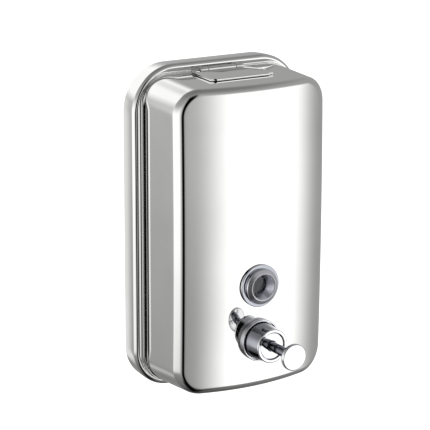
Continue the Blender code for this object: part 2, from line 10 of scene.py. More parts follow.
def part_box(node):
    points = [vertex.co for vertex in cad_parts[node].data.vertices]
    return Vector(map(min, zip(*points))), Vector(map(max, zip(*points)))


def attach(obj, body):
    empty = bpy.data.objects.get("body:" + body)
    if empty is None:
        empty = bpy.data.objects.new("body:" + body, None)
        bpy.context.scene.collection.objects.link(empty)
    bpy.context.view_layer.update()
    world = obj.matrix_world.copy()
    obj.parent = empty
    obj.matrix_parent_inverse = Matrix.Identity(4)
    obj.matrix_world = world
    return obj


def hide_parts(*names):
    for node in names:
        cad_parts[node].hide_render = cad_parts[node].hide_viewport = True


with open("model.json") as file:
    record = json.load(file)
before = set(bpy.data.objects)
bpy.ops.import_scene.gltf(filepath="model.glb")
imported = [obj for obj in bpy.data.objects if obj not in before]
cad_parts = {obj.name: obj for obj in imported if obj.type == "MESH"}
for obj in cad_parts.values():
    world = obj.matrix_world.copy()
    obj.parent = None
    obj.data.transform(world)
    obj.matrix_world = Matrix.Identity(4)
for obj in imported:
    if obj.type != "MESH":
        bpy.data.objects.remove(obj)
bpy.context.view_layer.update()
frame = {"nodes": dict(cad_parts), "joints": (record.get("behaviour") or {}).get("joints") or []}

MM = 0.001
GAP = 0.3 * MM
SHEET = 1.0 * MM

# The tank's shape. The flange's width, height and place come from the frame.
SHELL_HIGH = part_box("front_shell")[1]
WALL_Y = SHELL_HIGH.y
FLANGE_HALF_WIDTH = SHELL_HIGH.x
FLANGE_TOP = SHELL_HIGH.z
FLANGE_DEPTH = 14.5 * MM
FLANGE_EDGE = 2.5 * MM
# How far the side of the flange leans in at the wall. The CAD's side is straight.
FLANGE_BOW = 0.6 * MM
FLANGE_TOP_CORNER = 29.0 * MM
FLANGE_BOTTOM_CORNER = 25.5 * MM
ROOT_DEPTH = 13.4 * MM
ROOT_FILLET = 0.9 * MM
ROOT_HALF_WIDTH = 53.9 * MM
ROOT_TOP = 97.1 * MM
ROOT_BOTTOM = -98.6 * MM
FRONT_HALF_WIDTH = 53.3 * MM
FRONT_TOP = 95.0 * MM
FRONT_BOTTOM = -96.0 * MM
FRONT_CORNER = 16.3 * MM
FRONT_EDGE = 4.6 * MM
FRONT_DEPTH = 53.6 * MM
CROWN_ACROSS = 8.7 * MM
CROWN_UP = 1.3 * MM
BOTTOM_ARCH = 1.1 * MM
HOLE_RADIUS = 9.5 * MM

# Back of the tank and the parts on the wall
BACK_PLATE_Y = -9.0 * MM
BACK_RIM_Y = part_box("back_plate")[1].y
PLATE_THICKNESS = 1.5 * MM
PLATE_CORNER = 6.0 * MM
PLATE_HOLE_X = 25.0 * MM
PLATE_HOLE_Z = (-24.0 * MM, 64.0 * MM)
HOOK_X = 20.0 * MM
HOOK_WIDTH = 14.0 * MM
HOOK_Z = 50.0 * MM
HOOK_HEIGHT = 11.0 * MM
HOOK_REACH = 3.7 * MM
RAIL_SHEET = 1.2 * MM
RAIL_Y = -2.1 * MM
RAIL_FOOT = 10.0 * MM

# Filler lid, in a frame with the hinge axis as X and the slope of the top wall as Y
HINGE = Vector(next(joint["pos_m"] for joint in frame["joints"] if joint["name"] == "lid_hinge"))
HINGE_HEIGHT = 1.5 * MM
KNUCKLE_RADIUS = 1.2 * MM
PIN_RADIUS = 0.5 * MM
LUG_INNER = 10.0 * MM
LUG_OUTER = 15.5 * MM
LUG_FOOT = 2.6 * MM
LUG_SHEET = 0.8 * MM
LID_HALF_WIDTH = 22.4 * MM
LID_BACK = -1.5 * MM
LID_FRONT = -25.6 * MM
LID_UNDERSIDE = -1.2 * MM
LID_TOP = -0.1 * MM
LID_CORNER = 1.0 * MM
NOTCH_WIDTH = 3.4 * MM
NOTCH_DEPTH = 1.9 * MM
OPENING_HALF_WIDTH = 21.6 * MM
OPENING_BACK = -3.0 * MM
OPENING_FRONT = -24.9 * MM
OPENING_CORNER = 2.2 * MM
SEAL_GAP = 0.5 * MM
SEAL_RIM = 1.6 * MM
SEAL_DEPTH = 1.7 * MM
SEAL_LIP = 0.25 * MM

# Round fittings: each axis runs straight out of the crowned front face
SIGHT_Z = sum(corner.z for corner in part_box("sight_bezel")) / 2
PUMP_Z = sum(corner.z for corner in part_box("push_button")) / 2
BUTTON_FRONT = 40.5
OUTLET_DEPTH = 10.5 * MM
SCREW_DEPTH = 14.45 * MM
SCREW_TILT = math.radians(17.0)
VALVE_DEPTH = -27.0 * MM

# Mesh density
CORNER_STEPS = 28
ACROSS_STEPS = 56
UP_STEPS = 80
ROUND = 144


# ---------------------------------------------------------------- shape of the tank

def rounded_outline(half_width, bottom, top, top_corner, bottom_corner, arch=0.0,
                    across=ACROSS_STEPS, up=UP_STEPS, corner=CORNER_STEPS):
    """Points (x, z) of a rounded rectangle, anticlockwise. The bottom edge bows down by arch."""
    corners = (
        (half_width - top_corner, top - top_corner, top_corner, 0),
        (-half_width + top_corner, top - top_corner, top_corner, 90),
        (-half_width + bottom_corner, bottom + bottom_corner, bottom_corner, 180),
        (half_width - bottom_corner, bottom + bottom_corner, bottom_corner, 270),
    )
    arcs = []
    for x, z, radius, start in corners:
        angles = [math.radians(start + 90 * i / corner) for i in range(corner + 1)]
        arcs.append([(x + radius * math.cos(a), z + radius * math.sin(a)) for a in angles])
    points = []
    for i, arc in enumerate(arcs):
        points += arc
        steps = across if i % 2 == 0 else up
        (x0, z0), (x1, z1) = arc[-1], arcs[(i + 1) % 4][0]
        points += [(x0 + (x1 - x0) * k / steps, z0 + (z1 - z0) * k / steps) for k in range(1, steps)]
    return [(x, z - arch * (1 - (x / half_width) ** 2) * max(0.0, z / bottom)) for x, z in points]


def flange_outline(inset):
    return rounded_outline(
        FLANGE_HALF_WIDTH - inset, -FLANGE_TOP + inset, FLANGE_TOP - inset,
        FLANGE_TOP_CORNER - inset, FLANGE_BOTTOM_CORNER - inset)


def root_outline(inset):
    corner = FRONT_CORNER + ROOT_HALF_WIDTH - FRONT_HALF_WIDTH - inset
    return rounded_outline(
        ROOT_HALF_WIDTH - inset, ROOT_BOTTOM + inset, ROOT_TOP - inset, corner, corner, BOTTOM_ARCH)


def front_outline(inset):
    corner = FRONT_CORNER - inset
    return rounded_outline(
        FRONT_HALF_WIDTH - inset, FRONT_BOTTOM + inset, FRONT_TOP - inset, corner, corner, BOTTOM_ARCH)


def crown(x, z):
    """How far the front face stands in front of its own edge."""
    middle = (FRONT_TOP + FRONT_BOTTOM) / 2
    half_height = (FRONT_TOP - FRONT_BOTTOM) / 2
    across = 1 - min(1.0, abs(x) / FRONT_HALF_WIDTH) ** 2
    up = 1 - min(1.0, abs(z - middle) / half_height) ** 2
    return CROWN_ACROSS * across + CROWN_UP * up


def face_y(x, z):
    return -(FRONT_DEPTH + crown(x, z))


def lid_frame():
    """Places the lid's own frame in the world."""
    run = FRONT_DEPTH - FRONT_EDGE + crown(0, FRONT_TOP) - ROOT_DEPTH
    slope = math.atan((ROOT_TOP - FRONT_TOP) / run)
    return Matrix.Translation(HINGE) @ Matrix.Rotation(slope, 4, "X")


# ---------------------------------------------------------------- mesh tools

def add_piece(name, bm, mat, body, nodes, smooth_angle=30):
    """One visible piece of a closed bmesh. It rides on a body and stands for CAD nodes.

    A piece takes its finish from the slot its material is named after, up to the first dot.
    """
    bmesh.ops.recalc_face_normals(bm, faces=bm.faces)
    mesh = bpy.data.meshes.new(name)
    bm.to_mesh(mesh)
    bm.free()
    mesh.shade_smooth()
    mesh.set_sharp_from_angle(angle=math.radians(smooth_angle))
    mesh.materials.append(MATERIALS[mat])
    piece = bpy.data.objects.new(name, mesh)
    bpy.context.scene.collection.objects.link(piece)
    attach(piece, body)
    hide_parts(*nodes)
    return piece


def bridge(bm, first, second):
    """Join two rings of equal length with quads."""
    count = len(first)
    for i in range(count):
        j = (i + 1) % count
        bm.faces.new((first[i], first[j], second[j], second[i]))


def fillet_corners(corners, steps=7):
    """Round the corners of a closed outline of (across, along, fillet), all in millimetres."""
    points = []
    for i, (x, y, fillet) in enumerate(corners):
        here = Vector((x, y))
        if fillet == 0:
            points.append(here)
            continue
        before = Vector(corners[i - 1][:2]) - here
        after = Vector(corners[(i + 1) % len(corners)][:2]) - here
        half = before.angle(after) / 2
        reach = min(fillet / math.tan(half), before.length * 0.48, after.length * 0.48)
        start = here + before.normalized() * reach
        end = here + after.normalized() * reach
        middle = (before.normalized() + after.normalized()).normalized()
        centre = here + middle * (reach / math.cos(half))
        first, last = start - centre, end - centre
        turn = math.atan2(first.x * last.y - first.y * last.x, first.dot(last))
        for k in range(steps + 1):
            a = turn * k / steps
            points.append(centre + Vector((
                first.x * math.cos(a) - first.y * math.sin(a),
                first.x * math.sin(a) + first.y * math.cos(a))))
    return [(p.x * MM, p.y * MM) for p in points]


def turned_mesh(profile, axis, place, steps=ROUND, seat=None):
    """Turn a closed profile of (radius, distance) about the axis through place.

    Distance runs outward from the tank for axis "Y" and upward for "Z". Where a distance is exactly
    zero and seat is given, the point lies on the crowned front face.
    """
    bm = bmesh.new()
    rings = []
    for radius, distance in profile:
        ring = []
        for i in range(1 if radius < 1e-7 else steps):
            a = 2 * math.pi * i / steps
            x, z = radius * math.cos(a), radius * math.sin(a)
            along = seat(x, z) if seat and distance == 0 else distance
            offset = Vector((x, -along, z)) if axis == "Y" else Vector((x, z, along))
            ring.append(bm.verts.new(Vector(place) + offset))
        rings.append(ring)
    for first, second in zip(rings, rings[1:] + rings[:1]):
        if len(first) == 1 and len(second) == 1:
            continue
        for i in range(steps):
            j = (i + 1) % steps
            corners = [first[i % len(first)], first[j % len(first)]]
            corners += [second[j % len(second)], second[i % len(second)]]
            bm.faces.new(list(dict.fromkeys(corners)))
    return bm


def add_turned(name, corners, axis, place, mat, body, nodes, seat=None, steps=ROUND):
    """A turned piece from a profile of (radius, distance, fillet) in millimetres."""
    bm = turned_mesh(fillet_corners(corners), axis, place, steps, seat)
    return add_piece(name, bm, mat, body, nodes)


def finish_faces(piece, mat, chosen):
    """Give a second finish to the faces of a piece that chosen(centre, normal) picks."""
    mesh = piece.data
    mesh.materials.append(MATERIALS[mat])
    for face in mesh.polygons:
        if chosen(face.center, face.normal):
            face.material_index = len(mesh.materials) - 1


def slab_mesh(points, low, high, axis, matrix=Matrix.Identity(4), edge=0.0):
    """An outline extruded along X, Y or Z, its sharp edges rounded by edge."""
    place = {
        "X": lambda p, t: (t, p[0], p[1]),
        "Y": lambda p, t: (p[0], t, p[1]),
        "Z": lambda p, t: (p[0], p[1], t),
    }[axis]
    bm = bmesh.new()
    ends = [[bm.verts.new(place(p, t)) for p in points] for t in (low, high)]
    bridge(bm, *ends)
    for ring in ends:
        bm.faces.new(ring)
    bmesh.ops.recalc_face_normals(bm, faces=bm.faces)
    if edge:
        sharp = [e for e in bm.edges if e.calc_face_angle() > math.radians(35)]
        bmesh.ops.bevel(bm, geom=sharp, offset=edge, segments=3, profile=0.5, affect="EDGES",
                        clamp_overlap=True)
    bmesh.ops.transform(bm, matrix=matrix, verts=bm.verts)
    return bm


def rectangle(x0, x1, y0, y1):
    return [(x0, y0), (x1, y0), (x1, y1), (x0, y1)]


def circle(radius, steps=48, x=0.0, y=0.0):
    angles = [2 * math.pi * i / steps for i in range(steps)]
    return [(x + radius * math.cos(a), y + radius * math.sin(a)) for a in angles]


def combine(piece, bm, operation="DIFFERENCE", smooth_angle=30):
    """Cut a closed bmesh out of a piece, or join it to the piece, for good."""
    bmesh.ops.recalc_face_normals(bm, faces=bm.faces)
    mesh = bpy.data.meshes.new("tool")
    bm.to_mesh(mesh)
    bm.free()
    tool = bpy.data.objects.new("tool", mesh)
    bpy.context.scene.collection.objects.link(tool)
    change = piece.modifiers.new("combine", "BOOLEAN")
    change.operation = operation
    change.solver = "EXACT"
    change.object = tool
    graph = bpy.context.evaluated_depsgraph_get()
    result = bpy.data.meshes.new_from_object(piece.evaluated_get(graph))
    piece.modifiers.clear()
    piece.data = result
    bpy.data.objects.remove(tool)
    result.shade_smooth()
    result.set_sharp_from_angle(angle=math.radians(smooth_angle))


# ---------------------------------------------------------------- materials

def start_material(name, color, metallic, roughness):
    """A Principled material, with its shader and the object coordinates that its textures use."""
    made = bpy.data.materials.new(name)
    made.use_nodes = True
    nodes, links = made.node_tree.nodes, made.node_tree.links
    shader = nodes["Principled BSDF"]
    shader.inputs["Base Color"].default_value = (*color, 1)
    shader.inputs["Metallic"].default_value = metallic
    shader.inputs["Roughness"].default_value = roughness
    place = nodes.new("ShaderNodeTexCoord").outputs["Object"]
    return made, nodes, links, shader, place


def stretched(nodes, links, place, scale):
    """The object coordinates scaled unevenly, so that a texture on them runs in lines."""
    mapping = nodes.new("ShaderNodeMapping")
    mapping.inputs["Scale"].default_value = scale
    links.new(place, mapping.inputs["Vector"])
    return mapping.outputs["Vector"]


def noise(nodes, links, vector, scale, detail=4.0):
    made = nodes.new("ShaderNodeTexNoise")
    made.inputs["Scale"].default_value = scale
    made.inputs["Detail"].default_value = detail
    links.new(vector, made.inputs["Vector"])
    return made.outputs["Fac"]


def spread(nodes, links, value, low, high, start=0.3, end=0.7):
    """Map a noise value onto the range low to high."""
    made = nodes.new("ShaderNodeMapRange")
    made.inputs["From Min"].default_value = start
    made.inputs["From Max"].default_value = end
    made.inputs["To Min"].default_value = low
    made.inputs["To Max"].default_value = high
    links.new(value, made.inputs["Value"])
    return made.outputs["Result"]


def tint(nodes, links, value, first, second):
    """A colour that drifts between two shades with a noise value."""
    ramp = nodes.new("ShaderNodeValToRGB")
    ramp.color_ramp.elements[0].position = 0.35
    ramp.color_ramp.elements[0].color = (*first, 1)
    ramp.color_ramp.elements[1].position = 0.65
    ramp.color_ramp.elements[1].color = (*second, 1)
    links.new(value, ramp.inputs["Fac"])
    return ramp.outputs["Color"]


def add_bump(nodes, links, shader, height, strength, distance):
    bump = nodes.new("ShaderNodeBump")
    bump.inputs["Strength"].default_value = strength
    bump.inputs["Distance"].default_value = distance
    links.new(height, bump.inputs["Height"])
    links.new(bump.outputs["Normal"], shader.inputs["Normal"])


def polished_steel():
    """Mirror polished stainless sheet: faint clouding, and upright hairlines in its gloss."""
    made, nodes, links, shader, place = start_material("polished_steel", (0.86, 0.86, 0.85), 1.0, 0.05)
    cloud = noise(nodes, links, place, 26)
    hair = noise(nodes, links, stretched(nodes, links, place, (420, 420, 12)), 1.0, 2)
    links.new(tint(nodes, links, cloud, (0.84, 0.84, 0.83), (0.88, 0.88, 0.87)), shader.inputs["Base Color"])
    mixed = nodes.new("ShaderNodeMath")
    mixed.operation = "MULTIPLY_ADD"
    mixed.inputs[1].default_value = 0.35
    links.new(hair, mixed.inputs[0])
    links.new(cloud, mixed.inputs[2])
    links.new(spread(nodes, links, mixed.outputs["Value"], 0.04, 0.07, 0.45, 0.9), shader.inputs["Roughness"])
    return made


def sheet_steel():
    """Mill finish sheet: a fine rolling grain across it and a duller, mottled surface."""
    made, nodes, links, shader, place = start_material("sheet_steel", (0.60, 0.60, 0.59), 1.0, 0.32)
    mottle = noise(nodes, links, place, 45)
    grain = noise(nodes, links, stretched(nodes, links, place, (40, 900, 2600)), 1.0, 3)
    links.new(tint(nodes, links, mottle, (0.54, 0.54, 0.53), (0.64, 0.64, 0.63)), shader.inputs["Base Color"])
    links.new(spread(nodes, links, grain, 0.24, 0.42), shader.inputs["Roughness"])
    add_bump(nodes, links, shader, grain, 0.12, 0.0002)
    return made


def plating(name, dark, light, smooth, dull):
    """Plated brass: a cool, even mirror with a trace of turning marks round the axis."""
    made, nodes, links, shader, place = start_material(name, light, 1.0, smooth)
    cloud = noise(nodes, links, place, 60)
    turning = noise(nodes, links, stretched(nodes, links, place, (30, 2200, 30)), 1.0, 2)
    links.new(tint(nodes, links, cloud, dark, light), shader.inputs["Base Color"])
    links.new(spread(nodes, links, turning, smooth, dull), shader.inputs["Roughness"])
    return made


def chrome():
    return plating("chrome", (0.81, 0.81, 0.83), (0.87, 0.87, 0.89), 0.025, 0.06)


def satin_chrome_painted_reflection():
    """A dull finish for the sight ring's slopes and the base ring's sides. Its roughness dulls it; its
    lighter, bluer tone is painted reflection. Its tone was chosen.
    """
    return plating("chrome.satin_painted_reflection", (0.84, 0.84, 0.90), (0.90, 0.90, 0.96), 0.30, 0.38)


def dark_chrome():
    """A darkened mirror for the barrel's sides and the sight ring's flange, in place of reflections."""
    return plating("chrome.dark", (0.40, 0.41, 0.46), (0.46, 0.47, 0.52), 0.05, 0.09)


def rod_chrome_painted_reflection():
    """A mirror darkened further, for the plunger's rod: its dark tone is painted reflection. Its tone was
    chosen.
    """
    return plating("chrome.rod_painted_reflection", (0.22, 0.23, 0.27), (0.28, 0.29, 0.33), 0.07, 0.12)


def clear_plastic():
    """Smoky acrylic with hardly visible wiping marks."""
    made, nodes, links, shader, place = start_material("clear_plastic", (0.60, 0.63, 0.74), 0.0, 0.04)
    shader.inputs["Transmission Weight"].default_value = 1.0
    shader.inputs["IOR"].default_value = 1.49
    wiped = noise(nodes, links, stretched(nodes, links, place, (500, 60, 1500)), 1.0, 3)
    links.new(spread(nodes, links, wiped, 0.02, 0.07), shader.inputs["Roughness"])
    return made


def rubber():
    """Black nitrile, matt, with a moulded grain and greyer where it is rubbed."""
    made, nodes, links, shader, place = start_material("rubber", (0.02, 0.02, 0.02), 0.0, 0.6)
    rubbed = noise(nodes, links, place, 350)
    grain = noise(nodes, links, place, 2600, 2)
    shade = tint(nodes, links, rubbed, (0.012, 0.012, 0.013), (0.045, 0.045, 0.045))
    links.new(shade, shader.inputs["Base Color"])
    links.new(spread(nodes, links, grain, 0.5, 0.72), shader.inputs["Roughness"])
    add_bump(nodes, links, shader, grain, 0.3, 0.0001)
    return made


def pump_plastic():
    """White acetal: a waxy sheen and a very fine moulded texture."""
    made, nodes, links, shader, place = start_material("pump_plastic", (0.84, 0.84, 0.81), 0.0, 0.35)
    shader.inputs["Subsurface Weight"].default_value = 0.12
    shader.inputs["Subsurface Scale"].default_value = 0.002
    cloud = noise(nodes, links, place, 180)
    grain = noise(nodes, links, place, 3200, 2)
    links.new(tint(nodes, links, cloud, (0.80, 0.80, 0.77), (0.86, 0.86, 0.84)), shader.inputs["Base Color"])
    links.new(spread(nodes, links, grain, 0.3, 0.45), shader.inputs["Roughness"])
    add_bump(nodes, links, shader, grain, 0.1, 0.00005)
    return made


def spring_steel():
    """Hard drawn steel with lengthwise drawing lines and a faint heat tint."""
    made, nodes, links, shader, place = start_material("spring_steel", (0.55, 0.54, 0.52), 1.0, 0.25)
    heat = noise(nodes, links, place, 240)
    lines = noise(nodes, links, stretched(nodes, links, place, (200, 3000, 3000)), 1.0, 2)
    links.new(tint(nodes, links, heat, (0.50, 0.49, 0.47), (0.60, 0.57, 0.53)), shader.inputs["Base Color"])
    links.new(spread(nodes, links, lines, 0.18, 0.34), shader.inputs["Roughness"])
    return made


def make_materials():
    makers = {
        "polished_steel": polished_steel, "sheet_steel": sheet_steel, "chrome": chrome,
        "chrome.satin_painted_reflection": satin_chrome_painted_reflection, "chrome.dark": dark_chrome, "chrome.rod_painted_reflection": rod_chrome_painted_reflection,
        "clear_plastic": clear_plastic, "rubber": rubber, "pump_plastic": pump_plastic,
        "spring_steel": spring_steel}
    return {name: maker() for name, maker in makers.items()}


# ---------------------------------------------------------------- tank

def skin_rings(inset):
    """Rings of the drawn skin from the wall to the middle of its face, inset into the sheet.

    The ledge behind the flange's edge is curved here, where the CAD's is straight.
    """
    flat = FLANGE_DEPTH - FLANGE_EDGE
    wall_steps, edge_steps, ledge_steps, side_steps, face_steps = 6, 10, 8, 10, 48
    rings = []
    for k in range(wall_steps):
        bow = 0 if inset else FLANGE_BOW * (1 - k / wall_steps) ** 2
        y = WALL_Y + (-flat - WALL_Y) * k / wall_steps
        rings.append([(x, y, z) for x, z in flange_outline(inset + bow)])
    radius = FLANGE_EDGE - inset
    for i in range(edge_steps + 1):
        a = math.pi / 2 * i / edge_steps
        outline = flange_outline(inset + radius * (1 - math.cos(a)))
        rings.append([(x, -flat - radius * math.sin(a), z) for x, z in outline])
    brow = flange_outline(FLANGE_EDGE)
    foot = root_outline(-ROOT_FILLET)
    for k in range(1, ledge_steps):
        share = k / ledge_steps
        drop = (FLANGE_DEPTH - ROOT_DEPTH) * share ** 2
        rings.append([
            (x0 + (x1 - x0) * share, -FLANGE_DEPTH + inset + drop, z0 + (z1 - z0) * share)
            for (x0, z0), (x1, z1) in zip(brow, foot)])
    radius = ROOT_FILLET + inset
    for i in range(edge_steps + 1):
        a = math.pi / 2 * i / edge_steps
        outline = root_outline(inset - radius * (1 - math.sin(a)))
        rings.append([(x, -ROOT_DEPTH + inset - radius * (1 - math.cos(a)), z) for x, z in outline])
    roots = rings[-1]
    ends = [(x, -(FRONT_DEPTH - FRONT_EDGE) - crown(x, z), z) for x, z in front_outline(inset)]
    for k in range(1, side_steps):
        rings.append([Vector(a).lerp(Vector(b), k / side_steps) for a, b in zip(roots, ends)])
    radius = FRONT_EDGE - inset
    for i in range(2 * edge_steps + 1):
        a = math.pi / 4 * i / edge_steps
        depth = FRONT_DEPTH - FRONT_EDGE + radius * math.sin(a)
        points = front_outline(inset + radius * (1 - math.cos(a)))
        rings.append([(x, -depth - crown(x, z), z) for x, z in points])
    middle = (FRONT_TOP + FRONT_BOTTOM) / 2
    for k in range(1, face_steps):
        share = 1 - k / face_steps
        points = [(x * share, middle + (z - middle) * share) for x, z in front_outline(FRONT_EDGE)]
        rings.append([(x, face_y(x, z) + inset, z) for x, z in points])
    return rings


def make_tank_shell():
    """The drawn tank of one sheet: rim, walls and crowned face, open at the back."""
    bm = bmesh.new()
    skins = []
    for inset in (0.0, SHEET):
        rings = [[bm.verts.new(p) for p in ring] for ring in skin_rings(inset)]
        for first, second in zip(rings, rings[1:]):
            bridge(bm, first, second)
        bm.faces.new(rings[-1])
        skins.append(rings[0])
    bridge(bm, *skins)
    shell = add_piece("tank_shell", bm, "polished_steel", "tank", ["front_shell"])
    hole = rectangle(0, HOLE_RADIUS, -9 * MM, 9 * MM)
    for z in (SIGHT_Z, PUMP_Z):
        combine(shell, turned_mesh(hole, "Y", (0, face_y(0, z), z), 96))
    opening = lid_outline(OPENING_HALF_WIDTH, OPENING_FRONT, OPENING_BACK, OPENING_CORNER)
    combine(shell, slab_mesh(opening, -9 * MM, 2 * MM, "Z", lid_frame()))


def make_tank_back():
    """The tray that closes the tank, its folded rim lying inside the flange."""
    outer = SHEET + GAP
    bend = 1.6 * MM
    bm = bmesh.new()
    rings = []
    for inset, radius in ((outer, bend + SHEET), (outer + SHEET, bend)):
        face = BACK_PLATE_Y - (SHEET if inset == outer else 0)
        loops = [[(x, BACK_RIM_Y, z) for x, z in flange_outline(inset)]]
        for i in range(9):
            a = math.pi / 2 * i / 8
            outline = flange_outline(inset + radius * (1 - math.cos(a)))
            loops.append([(x, face + radius * (1 - math.sin(a)), z) for x, z in outline])
        rings.append([[bm.verts.new(p) for p in loop] for loop in loops])
    for loops in rings:
        for first, second in zip(loops, loops[1:]):
            bridge(bm, first, second)
        bm.faces.new(loops[-1])
    bridge(bm, rings[0][0], rings[1][0])
    add_piece("tank_back", bm, "sheet_steel", "tank", ["back_plate"])


def make_hanger():
    """A Z strip on the tank's back. Its leg drops behind the hooks on the wall."""
    low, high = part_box("hanger_rail")
    rest = low.z
    top = high.z - RAIL_FOOT
    back = BACK_PLATE_Y + GAP
    web = RAIL_Y - RAIL_SHEET
    points = [
        (RAIL_Y, rest), (RAIL_Y, top), (back + RAIL_SHEET, top), (back + RAIL_SHEET, top + RAIL_FOOT),
        (back, top + RAIL_FOOT), (back, top - RAIL_SHEET), (web, top - RAIL_SHEET), (web, rest)]
    bm = slab_mesh(points, low.x, high.x, "X", edge=0.3 * MM)
    add_piece("hanger_strip", bm, "sheet_steel", "tank", ["hanger_rail"])


def make_wall_bracket():
    """The plate screwed to the wall, with two hooks folded up from it."""
    low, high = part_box("wall_plate")
    outline = rounded_outline(high.x, low.z, high.z, PLATE_CORNER, PLATE_CORNER, across=1, up=1, corner=12)
    bm = slab_mesh(outline, 0, -PLATE_THICKNESS, "Y", edge=0.25 * MM)
    plate = add_piece("wall_bracket", bm, "sheet_steel", "wall_mount", ["wall_plate"])
    for side in (-1, 1):
        for z in PLATE_HOLE_Z:
            sink = [(0, 1), (2.4, 1), (2.4, -0.6), (3.4, -1.6), (3.4, -3), (0, -3)]
            profile = [(r * MM, -t * MM) for r, t in sink]
            combine(plate, turned_mesh(profile, "Y", (side * PLATE_HOLE_X, 0, z), 48))
        inner, outer = -HOOK_REACH, -HOOK_REACH - PLATE_THICKNESS
        points = [
            (-PLATE_THICKNESS / 2, HOOK_Z), (-PLATE_THICKNESS / 2, HOOK_Z + PLATE_THICKNESS),
            (inner, HOOK_Z + PLATE_THICKNESS), (inner, HOOK_Z + HOOK_HEIGHT),
            (outer, HOOK_Z + HOOK_HEIGHT), (outer, HOOK_Z)]
        start = side * HOOK_X - HOOK_WIDTH / 2
        combine(plate, slab_mesh(points, start, start + HOOK_WIDTH, "X", edge=0.25 * MM), "UNION")


# ---------------------------------------------------------------- filler lid

def lid_outline(half_width, front, back, corner, steps=10):
    middle = (front + back) / 2
    points = rounded_outline(
        half_width, front - middle, back - middle, corner, corner, across=1, up=1, corner=steps)
    return [(x, y + middle) for x, y in points]


def make_lid_plate():
    """The lid: a plate notched at its front corners, and the middle knuckle of its hinge."""
    points = lid_outline(LID_HALF_WIDTH, LID_FRONT, LID_BACK, LID_CORNER)
    bm = slab_mesh(points, LID_UNDERSIDE, LID_TOP, "Z", lid_frame(), edge=0.12 * MM)
    lid = add_piece("lid_plate", bm, "polished_steel", "lid", ["filler_lid"])
    for side in (-1, 1):
        low, high = sorted((side * (LID_HALF_WIDTH - NOTCH_WIDTH), side * (LID_HALF_WIDTH + 1 * MM)))
        corner = rectangle(low, high, LID_FRONT - 1 * MM, LID_FRONT + NOTCH_DEPTH)
        combine(lid, slab_mesh(corner, LID_UNDERSIDE - 1 * MM, LID_TOP + 1 * MM, "Z", lid_frame()))
    half = LUG_INNER - GAP
    tab = rectangle(-half, half, LID_BACK - 1 * MM, 0)
    combine(lid, slab_mesh(tab, LID_UNDERSIDE, LID_TOP, "Z", lid_frame()), "UNION")
    combine(lid, slab_mesh(circle(KNUCKLE_RADIUS), -half, half, "X", lid_frame()), "UNION")
    combine(lid, slab_mesh(circle(PIN_RADIUS + GAP, 32), -LUG_OUTER, LUG_OUTER, "X", lid_frame()))


def make_lid_seal():
    """A rubber ring under the lid that plugs into the opening, with a rounded lower lip."""
    high = LID_UNDERSIDE - GAP
    low = high - SEAL_DEPTH
    layers = (
        (0.0, low + SEAL_LIP), (0.0, high), (SEAL_RIM, high), (SEAL_RIM, low + SEAL_LIP),
        (SEAL_RIM - SEAL_LIP, low), (SEAL_LIP, low))
    bm = bmesh.new()
    rings = []
    for rim, z in layers:
        inset = SEAL_GAP + rim
        points = lid_outline(
            OPENING_HALF_WIDTH - inset, OPENING_FRONT + inset, OPENING_BACK - inset, OPENING_CORNER - inset)
        rings.append([bm.verts.new(lid_frame() @ Vector((x, y, z))) for x, y in points])
    for first, second in zip(rings, rings[1:] + rings[:1]):
        bridge(bm, first, second)
    add_piece("lid_seal", bm, "rubber", "lid", ["lid_gasket"])


def make_hinge():
    """Two ears beside the lid's knuckle, and the pin through all three."""
    floor = -HINGE_HEIGHT + GAP
    for side, name in ((-1, "left"), (1, "right")):
        low, high = sorted((side * LUG_INNER, side * LUG_OUTER))
        bm = slab_mesh(circle(KNUCKLE_RADIUS), low, high, "X", lid_frame(), edge=0.15 * MM)
        lug = add_piece("lug_" + name, bm, "polished_steel", "tank", ["hinge_lug_" + name])
        foot = rectangle(0, LUG_FOOT, floor, floor + LUG_SHEET)
        combine(lug, slab_mesh(foot, low, high, "X", lid_frame(), edge=0.15 * MM), "UNION")
        bore = circle(PIN_RADIUS + GAP, 32)
        combine(lug, slab_mesh(bore, -LUG_OUTER - MM, LUG_OUTER + MM, "X", lid_frame()))
    bm = slab_mesh(circle(PIN_RADIUS, 32), -LUG_OUTER, LUG_OUTER, "X", lid_frame(), edge=0.15 * MM)
    add_piece("hinge_wire", bm, "chrome", "tank", ["hinge_pin"])


# ---------------------------------------------------------------- sight glass

def seat_on_face(axis_z):
    """Height of the front face above its own point on the axis, with the gap a fitting keeps to it."""
    return lambda x, z: face_y(0, axis_z) - face_y(x, axis_z + z) + GAP


def nut_mesh(bore, across_flats, low, high, place):
    """A hexagon nut with a round bore and its corners turned down at both ends."""
    steps = 96
    chamfer = 0.7 * MM
    bm = bmesh.new()
    rings = []
    layers = (
        (low, 0), (low + chamfer, 1), (high - chamfer, 1), (high, 0), (high, 2), (low, 2))
    for depth, kind in layers:
        ring = []
        for i in range(steps):
            a = 2 * math.pi * i / steps
            hexagon = across_flats / 2 / math.cos((a % (math.pi / 3)) - math.pi / 6)
            radius = (min(hexagon, across_flats / 2 * 1.03), hexagon, bore)[kind]
            offset = Vector((radius * math.cos(a), -depth, radius * math.sin(a)))
            ring.append(bm.verts.new(Vector(place) + offset))
        rings.append(ring)
    for first, second in zip(rings, rings[1:] + rings[:1]):
        bridge(bm, first, second)
    return bm


